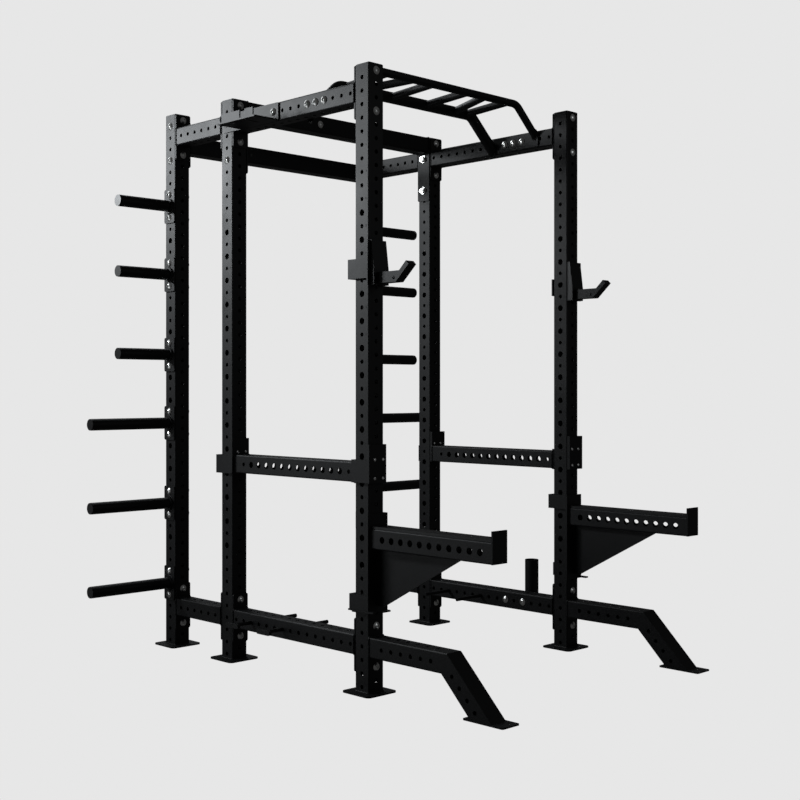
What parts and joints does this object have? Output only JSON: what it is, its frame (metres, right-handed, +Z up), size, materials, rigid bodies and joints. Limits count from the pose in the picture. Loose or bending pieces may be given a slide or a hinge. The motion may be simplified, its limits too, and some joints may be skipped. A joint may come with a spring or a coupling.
{
  "type": "power cage",
  "caption": "Free-standing steel power cage with drilled uprights, angled feet, pull-up bars, plate horns, bar hooks, safety rails and pivoting spotter arms.",
  "frame": {"origin": "on the floor, in the middle of the outline", "axes": "+Z up, +Y from the front feet to the plate-storage uprights, +X to the right seen from the front"},
  "size_m": [2.0742, 2.0374, 2.4147],
  "materials": {
    "black_powder_coat": "fine-textured matte black powder coat",
    "bright_zinc": "bright plated",
    "black_plastic": "matte moulded"
  },
  "bodies": {
    "frame": {"band_peg_ends": "black_plastic", "band_pegs": "black_powder_coat", "bar_holder_bracket": "black_powder_coat", "bar_holder_tube": "black_powder_coat", "base_plates": "black_powder_coat", "beam_flanges": "black_powder_coat", "bolts": "bright_zinc", "bottom_beam_front_left": "black_powder_coat", "bottom_beam_front_right": "black_powder_coat", "bottom_beam_rear_left": "black_powder_coat", "bottom_beam_rear_right": "black_powder_coat", "crossmember_plates": "black_powder_coat", "front_foot_left": "black_powder_coat", "front_foot_right": "black_powder_coat", "horn_caps": "black_plastic", "horn_plates": "black_powder_coat", "middle_crossmember": "black_powder_coat", "nuts": "bright_zinc", "pullup_plates": "black_powder_coat", "pullup_rail_front": "black_powder_coat", "pullup_rail_rear": "black_powder_coat", "pullup_rungs": "black_powder_coat", "rear_crossmember": "black_powder_coat", "shelf_bracket": "black_powder_coat", "storage_horns_long": "black_powder_coat", "storage_horns_short": "black_powder_coat", "top_beam_front_left": "black_powder_coat", "top_beam_front_right": "black_powder_coat", "top_beam_rear_left": "black_powder_coat", "top_beam_rear_right": "black_powder_coat", "upright_caps": "black_plastic", "upright_front_left": "black_powder_coat", "upright_front_right": "black_powder_coat", "upright_middle_left": "black_powder_coat", "upright_middle_right": "black_powder_coat", "upright_rear_left": "black_powder_coat", "upright_rear_right": "black_powder_coat", "washers": "bright_zinc"},
    "jcup_left": {"jcup_bracket_left": "black_powder_coat", "jcup_pads_left": "black_plastic", "jcup_pin_left": "bright_zinc"},
    "arm_left": {"arm_bracket_left": "black_powder_coat", "arm_pads_left": "black_plastic", "arm_pin_left": "bright_zinc", "spotter_arm_left": "black_powder_coat"},
    "safety_left": {"safety_brackets_left": "black_powder_coat", "safety_liners_left": "black_plastic", "safety_pins_left": "bright_zinc", "safety_rail_left": "black_powder_coat"},
    "jcup_right": {"jcup_bracket_right": "black_powder_coat", "jcup_pads_right": "black_plastic", "jcup_pin_right": "bright_zinc"},
    "arm_right": {"arm_bracket_right": "black_powder_coat", "arm_pads_right": "black_plastic", "arm_pin_right": "bright_zinc", "spotter_arm_right": "black_powder_coat"},
    "safety_right": {"safety_brackets_right": "black_powder_coat", "safety_liners_right": "black_plastic", "safety_pins_right": "bright_zinc", "safety_rail_right": "black_powder_coat"}
  },
  "joints": [
    {"name": "jcup_left_slide", "type": "slide", "parent": "frame", "child": "jcup_left", "axis": [-1, 0, 0], "range_m": [0, 0.12]},
    {"name": "arm_left_pivot", "type": "hinge", "parent": "frame", "child": "arm_left", "pos_m": [-0.594, -0.31665, 0.5588], "axis": [0, 1, 0], "range_deg": [0, 80]},
    {"name": "safety_left_slide", "type": "slide", "parent": "frame", "child": "safety_left", "axis": [-1, 0, 0], "range_m": [0, 0.16]},
    {"name": "jcup_right_slide", "type": "slide", "parent": "frame", "child": "jcup_right", "axis": [1, 0, 0], "range_m": [0, 0.12]},
    {"name": "arm_right_pivot", "type": "hinge", "parent": "frame", "child": "arm_right", "pos_m": [0.594, -0.31665, 0.5588], "axis": [0, -1, 0], "range_deg": [0, 80]},
    {"name": "safety_right_slide", "type": "slide", "parent": "frame", "child": "safety_right", "axis": [1, 0, 0], "range_m": [0, 0.16]}
  ]
}
